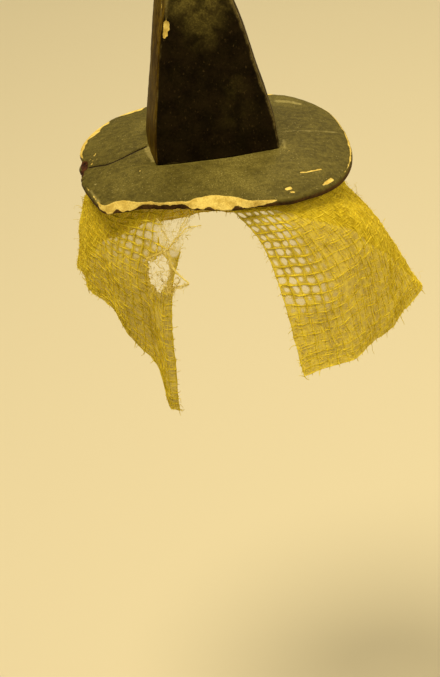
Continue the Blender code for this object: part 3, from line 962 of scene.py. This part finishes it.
def strandPiece(name, strands, material):
    # thin four-sided tubes along the strands, each a list of points and a list of radii in mm
    curve = bpy.data.curves.new(name, "CURVE")
    curve.dimensions, curve.use_fill_caps = "3D", True
    curve.bevel_depth, curve.bevel_resolution = mm, 0
    for points, radii in strands:
        spline = curve.splines.new("POLY")
        spline.points.add(len(points) - 1)
        for spot, point, radius in zip(spline.points, points, radii):
            spot.co = (*(point * mm), 1.0)
            spot.radius = radius
    holder = addObject(name + "_strands", curve)
    graph = bpy.context.evaluated_depsgraph_get()
    mesh = bpy.data.meshes.new_from_object(holder.evaluated_get(graph))
    mesh.name = name
    bpy.data.objects.remove(holder)
    bpy.data.curves.remove(curve)
    return newPiece(name, mesh, material)


def threadStrands(index, runsDown, steps, radius, wander, sparseness=-1.0):
    # one thread as strands, split where it is torn and where it is too sparse
    strands, points, radii = [], [], []
    for step in range(veil["wefts" if runsDown else "warps"] * steps + 1):
        along = step / steps
        column, row = (index, along) if runsDown else (along, index)
        clear = clearness(column, row)
        sparse = sparseness + (clear if sparseness > -1.0 else 0.0)
        if threadGone(column, row) or lump((along, 0.0, 0.0), 3.0, 7.3 * index) < sparse:
            strands.append((points, radii))
            points, radii = [], []
            continue
        point, normal, across, downward = netFrame(column, row)
        phase = math.cos(math.pi * along) * (-1) ** round(index) * (1 if runsDown else -1)
        point += normal * (veil["weaveDepth"] * phase + wander * lump(point, 1.1, 2.0 + index))
        sideways = across if runsDown else downward
        point += sideways * wander * 1.6 * lump(point, 1.1, 5.0 + index)
        points.append(point)
        knot = 0.5 + 0.5 * math.cos(2 * math.pi * along)
        thickening = (1 + 0.40 * lump(point, 1.5, index)) * (1 + 0.7 * clear)
        radii.append(radius * (0.72 + 0.60 * knot) * thickening)
    strands.append((points, radii))
    return [strand for strand in strands if len(strand[0]) > 1]


def buildThreads(material):
    rng = random.Random(5)
    threads, plies = [], []
    for runsDown, count in ((True, veil["warps"]), (False, veil["wefts"])):
        for index in range(count + 1):
            radius = veil["threadRadius"] * rng.uniform(0.8, 1.25)
            steps, wander = veil["stepsPerPitch"], veil["threadWander"]
            threads += threadStrands(index, runsDown, steps, radius, wander)
            radius, steps = veil["plyRadius"] * rng.uniform(0.7, 1.3), veil["plySteps"]
            plies += threadStrands(index, runsDown, steps, radius, veil["plyWander"])
            for share in (0.33, 0.67) if index < count else ():
                between = index + share + rng.uniform(-0.1, 0.1)
                radius = veil["plyRadius"] * rng.uniform(0.6, 1.0)
                wander = veil["brokenPlyWander"]
                plies += threadStrands(between, runsDown, steps, radius, wander, -0.12)
    return strandPiece("veil_net", threads, material), strandPiece("veil_plies", plies, material)


def drawn(rng, *spreads):
    return Vector([rng.gauss(0, spread) for spread in spreads])


def buildFuzz(material):
    # short needles of lint that stand off the threads
    rng = random.Random(11)
    warps, wefts = veil["warps"], veil["wefts"]
    strands = []
    while len(strands) < veil["fuzzCount"]:
        column, row = rng.uniform(0, warps), rng.uniform(0.1, wefts)
        if rng.random() < 0.5:
            column = round(column) + rng.gauss(0, 0.05)
        else:
            row = max(round(row), 1) + rng.gauss(0, 0.05)
        course = drawn(rng, 1, 1, 0.6).normalized()
        length, thick = rng.uniform(0.35, 1.3), rng.uniform(0.025, 0.05)
        if threadGone(column, row):
            continue
        spot, normal, across, downward = netFrame(clamp(column, 0, warps), min(row, wefts))
        end = spot + (across * course.x + downward * course.y + normal * course.z) * length
        strands.append(([spot, end], [thick, 0.5 * thick]))
    return strandPiece("veil_fuzz", strands, material)


def tapered(points, thick):
    return points, [thick * (1 - 0.6 * index / (len(points) - 1)) for index in range(len(points))]


def looseStrand(rng, start, course, length, curl, steps, thickness):
    # a stray thread from its start, wandering off, sinking a little and thinning out
    points, heading = [start], course.normalized()
    for _ in range(steps):
        heading = (heading + drawn(rng, curl, curl, curl) + Vector((0, 0, -0.10))).normalized()
        points.append(points[-1] + heading * length / steps)
    return tapered(points, rng.uniform(*thickness))


def curlPath(rng, middle, size):
    # a small open loop that stands off the net
    outward = outwardAt(middle)
    along = Vector((0, 0, 1)).cross(outward)
    first, reach = rng.uniform(0, 2 * math.pi), rng.uniform(1.1, 1.8) * math.pi
    points = []
    for step in range(11):
        turn = first + reach * step / 10
        swell = size * (1 + 0.2 * math.sin(3 * turn))
        point = middle + outward * swell * math.cos(turn) + Vector((0, 0, swell * math.sin(turn)))
        points.append(point + along * size * (0.12 * step - 0.6))
    return points


def buildFrays(material):
    rng = random.Random(23)
    warps, wefts = veil["warps"], veil["wefts"]
    strands = []
    for column in range(warps + 1):  # thread ends below the hem
        point, _, _, downward = netFrame(column, wefts)
        length = rng.uniform(0.4, 2.0) * (1.7 if rng.random() < 0.12 else 1.0)
        strands.append(looseStrand(rng, point, downward, length, 0.25, 5, (0.08, 0.15)))
    for edge, sign in ((0, -1), (warps, 1)):  # thread ends along the two front edges, two a row
        for end in range(2 * wefts):
            row = end // 2 + 1
            row += rng.uniform(-0.3, 0.3) if row < wefts else 0
            point, _, across, _ = netFrame(edge, row)
            length = rng.uniform(0.4, 2.4)
            strands.append(looseStrand(rng, point, across * sign, length, 0.4, 6, (0.06, 0.12)))
    for _ in range(veil["strayCount"]):  # strays and loops that stand off the net
        point, normal, across, downward = netFrame(rng.uniform(0, warps), rng.uniform(1.5, wefts))
        course = across * rng.gauss(0, 1) + downward * rng.gauss(0, 1)
        course += normal * rng.uniform(0.1, 0.8)
        length = rng.uniform(1.2, 4.2)
        strands.append(looseStrand(rng, point, course, length, 0.5, 8, (0.04, 0.085)))
    for place in veil["curls"]:
        for _ in range(veil["loopsPerCurl"]):
            middle = Vector(place) + drawn(rng, 0.5, 3.5, 2.2)
            path = curlPath(rng, middle, rng.uniform(0.25, 0.85))
            strands.append((path, [rng.uniform(0.05, 0.085)] * len(path)))
    return strandPiece("veil_frays", strands, material)


tear = {
    # what hangs at the torn place: strands along each path, their spread and thickness, its points
    "paths": (
        (3, 0.40, 0.075, (-7.8, -30, -6.9), (-9.6, -30.1, -6.7), (-11.3, -30.3, -6.9),
         (-12.4, -30.5, -7.4), (-13.8, -30.7, -8.4), (-15.4, -30.8, -10.3), (-16.8, -31, -11.6)),
        (3, 0.50, 0.065, (-10.4, -29, -3.8), (-11.4, -29.6, -5.6), (-12.8, -29.8, -7),
         (-13.6, -30.1, -7.9), (-14.3, -30.5, -9.5), (-15.7, -30.7, -10.9), (-17.1, -31, -11.9)),
        (2, 0.45, 0.06, (-18.2, -29, -3.6), (-17.8, -29.4, -5.6), (-17, -30, -7.4),
         (-16.1, -30.6, -9.2), (-17, -31, -10.8)),
        (3, 0.30, 0.08, (-22.1, -30.4, -13.5), (-20.7, -30.6, -13.2), (-19.3, -30.7, -12.5),
         (-17.8, -30.9, -12), (-16.4, -31.1, -11.3)),
        (4, 0.45, 0.09, (-12.7, -34.5, -19.9), (-14, -33.6, -20.9), (-15.7, -32.6, -21.6),
         (-17.1, -31.7, -22), (-18, -30.9, -22.8)),
        (5, 0.55, 0.09, (-18.5, -31.3, -21.4), (-17.6, -31.6, -22.9), (-16.7, -31.8, -23.5),
         (-16.1, -32, -22.3), (-17, -32, -21)),
        (3, 0.35, 0.07, (-16.9, -31.5, -14.7), (-16.2, -31.6, -17.7), (-16.6, -31.5, -19.9),
         (-17.5, -31.4, -21.8)),
        (2, 0.25, 0.06, (-15.2, -32.7, -18.6), (-14.5, -32.8, -19.8), (-15.4, -32.7, -20.9),
         (-16.3, -32.6, -20.2)),
    ),
    # how many strands twist, how far from the middle, their thickness and turns, the path
    "twist": (6, 0.24, 0.17, 2.2, (-16.9, -31, -11.6), (-16.5, -31.5, -13.4), (-16.2, -32.1, -15.6),
              (-15.6, -32.6, -16.6), (-14.8, -33.2, -17.6), (-13.6, -33.9, -18.9),
              (-12.6, -34.5, -19.7)),
    "pathSteps": 14,
    "twistSteps": 24,
    "webCount": 150,
    "webInHole": 90,
}


def alongPath(path, share):
    # a point on the path at this share of its length
    spans = [(b - a).length for a, b in zip(path, path[1:])]
    left = share * sum(spans)
    for a, b, span in zip(path, path[1:], spans):
        if left <= span:
            return a.lerp(b, left / span)
        left -= span
    return path[-1].copy()


def buildTear(material):
    rng = random.Random(31)
    strands, paths = [], []
    for count, spread, thick, *path in tear["paths"]:
        path = [Vector(point) for point in path]
        paths.append(path)
        for index in range(count):
            points = []
            for step in range(tear["pathSteps"] + 1):
                place = (step / 5, index, path[0].x)
                wander = Vector([lump(place, 0.7, seed) for seed in (1.0, 2.0, 3.0)]) * spread * 1.6
                points.append(alongPath(path, step / tear["pathSteps"]) + wander)
            strands.append((points, [thick * rng.uniform(0.9, 1.6)] * len(points)))
    count, spread, thick, turns, *path = tear["twist"]
    path = [Vector(point) for point in path]
    for index in range(count):
        points = []
        for step in range(tear["twistSteps"] + 1):
            share = step / tear["twistSteps"]
            turn = 2 * math.pi * (index / count + turns * share)
            off = Vector((math.cos(turn), 0.5 * math.sin(turn), 0.6 * math.sin(turn)))
            points.append(alongPath(path, share) + off * spread * (1 - 0.4 * share))
        strands.append(tapered(points, thick))
    for _ in range(tear["webCount"]):
        start = alongPath(rng.choice(paths), rng.random()) + drawn(rng, 0.25, 0.25, 0.25)
        course, length = drawn(rng, 1, 1, 1), rng.uniform(0.8, 3.4)
        strands.append(looseStrand(rng, start, course, length, 0.6, 7, (0.035, 0.075)))
    for _ in range(tear["webInHole"]):
        share, down = (
            rng.uniform(-1.1, 1.1) * half + middle for middle, half in zip(*veil["torn"])
        )
        course, length = drawn(rng, 1, 0.3, 1), rng.uniform(1.5, 4.0)
        start = veilPoint(max(share, 0.0), down)
        strands.append(looseStrand(rng, start, course, length, 0.45, 8, (0.04, 0.08)))
    return strandPiece("veil_tear", strands, material)


def buildVeil():
    layOutThreads()
    thread = makeThreadCloth("netThread", (0.66, 0.50, 0.015), (0.98, 0.80, 0.06))
    lint = makeThreadCloth("netLint", (0.64, 0.50, 0.018), (0.98, 0.81, 0.09))
    pale = makeThreadCloth("palePly", (0.80, 0.62, 0.12), (1.0, 0.85, 0.30))
    haze = buildHaze()
    net, plies = buildThreads(thread)
    fuzz = buildFuzz(lint)
    frays = buildFrays(thread)
    torn = buildTear(pale)
    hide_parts("veil")
    print("veil made")


# Floor, lights and camera

def buildFloor():
    bm = bmesh.new()
    bmesh.ops.create_grid(bm, x_segments=1, y_segments=1, size=studio["floorHalf"] * mm)
    bmesh.ops.translate(bm, verts=bm.verts, vec=(0, 0, studio["floorHeight"] * mm))
    floor = addObject("floor", meshOf("floor", bm))
    paper = {"Base Color": studio["floorColour"], "Roughness": 0.95, "Specular IOR Level": 0.1}
    floor.data.materials.append(startMaterial("floorPaper", paper)[0])


def buildLights():
    for name, (place, half, watts, colour) in studio["lights"].items():
        data = bpy.data.lights.new(name, "AREA")
        data.shape, data.size = "DISK", 2 * half * mm
        data.energy, data.color = watts, colour
        light = addObject(name, data)
        light.location = Vector(place) * mm
        light.rotation_euler = (-light.location).to_track_quat("-Z", "Y").to_euler()
    world = bpy.data.worlds.new("softStudio")
    world.use_nodes = True
    background = world.node_tree.nodes["Background"]
    background.inputs["Color"].default_value = studio["worldColour"]
    background.inputs["Strength"].default_value = studio["worldStrength"]
    bpy.context.scene.world = world


def buildCamera():
    turn, lift, roll = (math.radians(view[name]) for name in ("azimuth", "elevation", "roll"))
    turned = Matrix.Rotation(turn, 3, "Z") @ Matrix.Rotation(math.pi / 2 - lift, 3, "X")
    rightward, upward, backward = (turned @ Matrix.Rotation(-roll, 3, "Z")).transposed()
    seen = brimMiddle + Vector((0.0, 0.0, brim["thickness"]))
    place = seen + backward * view["distance"]
    width, height = view["picture"]
    column, row = view["brimMiddle"]
    offset = rightward * (width / 2 - column) - upward * (height / 2 - row)
    toward = (place - seen - offset * view["pixel"]).normalized()
    across = upward.cross(toward).normalized()
    data = bpy.data.cameras.new("photoCamera")
    data.sensor_fit = "VERTICAL"
    data.sensor_height = view["sensor"]
    data.lens = view["sensor"] * view["distance"] / (height * view["pixel"])
    data.clip_start, data.clip_end = 0.01, 20.0
    camera = addObject("photoCamera", data)
    axes = Matrix((across, toward.cross(across), toward)).transposed().to_4x4()
    camera.matrix_world = Matrix.Translation(place * mm) @ axes
    bpy.context.scene.camera = camera


bpy.context.scene.view_settings.view_transform = "Standard"
buildGroups()
buildBrim()
buildCrown()
buildVeil()
buildFloor()
buildLights()
buildCamera()
print("studio made")
